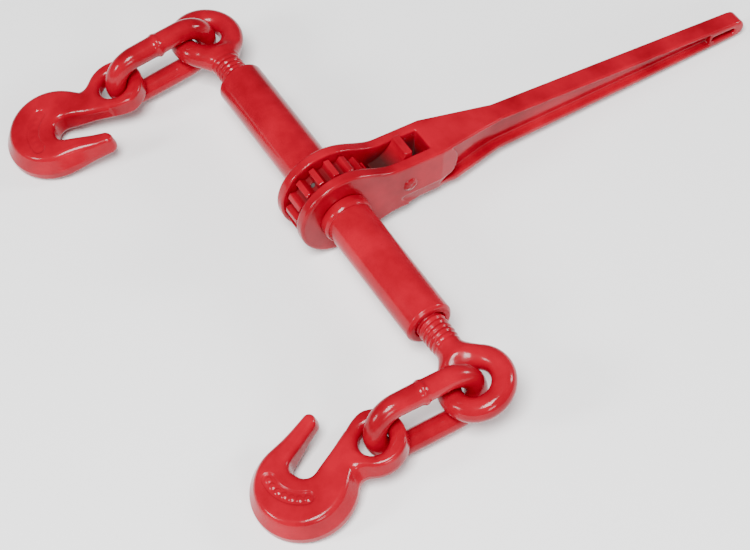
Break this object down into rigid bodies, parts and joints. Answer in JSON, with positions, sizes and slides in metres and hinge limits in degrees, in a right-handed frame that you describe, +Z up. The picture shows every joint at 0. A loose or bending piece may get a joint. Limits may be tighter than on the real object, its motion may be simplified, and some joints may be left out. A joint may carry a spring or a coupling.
{
  "type": "ratchet load binder",
  "caption": "Ratchet load binder: a turnbuckle barrel with a swinging ratchet handle, and an eye screw, link and grab hook at each end.",
  "frame": {"origin": "middle of the whole object's box, on the surface it lies on", "axes": "+X along the barrel, +Y from the barrel towards the handle's tip, +Z up"},
  "size_m": [0.4208, 0.511, 0.0688],
  "materials": {
    "barrel_enamel": "gloss red enamel on smooth tube",
    "handle_enamel": "gloss red enamel on a forging",
    "ratchet_enamel": "gloss red enamel, thin on the tooth edges",
    "forged_enamel": "gloss red enamel on forged and welded steel",
    "oiled_steel": "oiled"
  },
  "bodies": {
    "barrel_group": {"barrel": "barrel_enamel", "ratchet_gear": "ratchet_enamel", "gear_pin": "oiled_steel", "right_collar": "barrel_enamel", "left_collar": "barrel_enamel"},
    "handle_group": {"handle": "handle_enamel", "pawl_pin": "ratchet_enamel", "detent_spring": "oiled_steel"},
    "pawl": {"pawl": "ratchet_enamel"},
    "plunger": {"detent_plunger": "oiled_steel"},
    "right_travel_stop": {"right_stop_washer": "oiled_steel"},
    "right_eye": {"right_eye_screw": "forged_enamel", "right_end_clip": "oiled_steel"},
    "right_link": {"right_link": "forged_enamel"},
    "right_hook": {"right_grab_hook": "forged_enamel"},
    "left_travel_stop": {"left_stop_washer": "oiled_steel"},
    "left_eye": {"left_eye_screw": "forged_enamel", "left_end_clip": "oiled_steel"},
    "left_link": {"left_link": "forged_enamel"},
    "left_hook": {"left_grab_hook": "forged_enamel"}
  },
  "joints": [
    {"name": "handle_turn", "type": "hinge", "parent": "barrel_group", "child": "handle_group", "pos_m": [-0.00159, -0.09302, 0.03583], "axis": [1, 0, 0], "continuous": true},
    {"name": "pawl_tilt", "type": "hinge", "parent": "handle_group", "child": "pawl", "pos_m": [-0.00159, -0.04009, 0.03297], "axis": [1, 0, 0], "range_deg": [-12.5, 12.5]},
    {"name": "detent_press", "type": "slide", "parent": "handle_group", "child": "plunger", "axis": [0, 0.9971, -0.0767], "range_m": [0, 0.002], "stiffness_N_per_m": 1500, "springref_m": -0.004, "deforming": ["detent_spring"]},
    {"name": "right_screw_travel", "type": "slide", "parent": "barrel_group", "child": "right_travel_stop", "axis": [1, 0, 0], "range_m": [-0.01201, 0.08001]},
    {"name": "right_eye_turn", "type": "hinge", "parent": "right_travel_stop", "child": "right_eye", "pos_m": [-0.00159, -0.09302, 0.03583], "axis": [1, 0, 0], "range_deg": [-1080, 7200]},
    {"name": "right_link_swing", "type": "hinge", "parent": "right_eye", "child": "right_link", "pos_m": [0.17991, -0.09302, 0.03583], "axis": [0, -0.3024, 0.9532], "range_deg": [-40, 220]},
    {"name": "right_hook_swing", "type": "hinge", "parent": "right_link", "child": "right_hook", "pos_m": [0.17799, -0.16871, 0.02593], "axis": [-0.0207, 0.2017, -0.9792], "range_deg": [-55, 110]},
    {"name": "left_screw_travel", "type": "slide", "parent": "barrel_group", "child": "left_travel_stop", "axis": [-1, 0, 0], "range_m": [-0.00801, 0.08401]},
    {"name": "left_eye_turn", "type": "hinge", "parent": "left_travel_stop", "child": "left_eye", "pos_m": [-0.00159, -0.09302, 0.03583], "axis": [1, 0, 0], "range_deg": [-720, 7560]},
    {"name": "left_link_swing", "type": "hinge", "parent": "left_eye", "child": "left_link", "pos_m": [-0.17779, -0.09302, 0.03583], "axis": [0, -0.1045, -0.9945], "range_deg": [-40, 220]},
    {"name": "left_hook_swing", "type": "hinge", "parent": "left_link", "child": "left_hook", "pos_m": [-0.17799, -0.16887, 0.02654], "axis": [-0.0207, -0.2017, 0.9792], "range_deg": [-55, 110]}
  ],
  "couplings": [
    {"joint": "right_screw_travel", "follows": "right_eye_turn", "m_per_rad": 0.00063662},
    {"joint": "left_screw_travel", "follows": "left_eye_turn", "m_per_rad": 0.00063662}
  ]
}
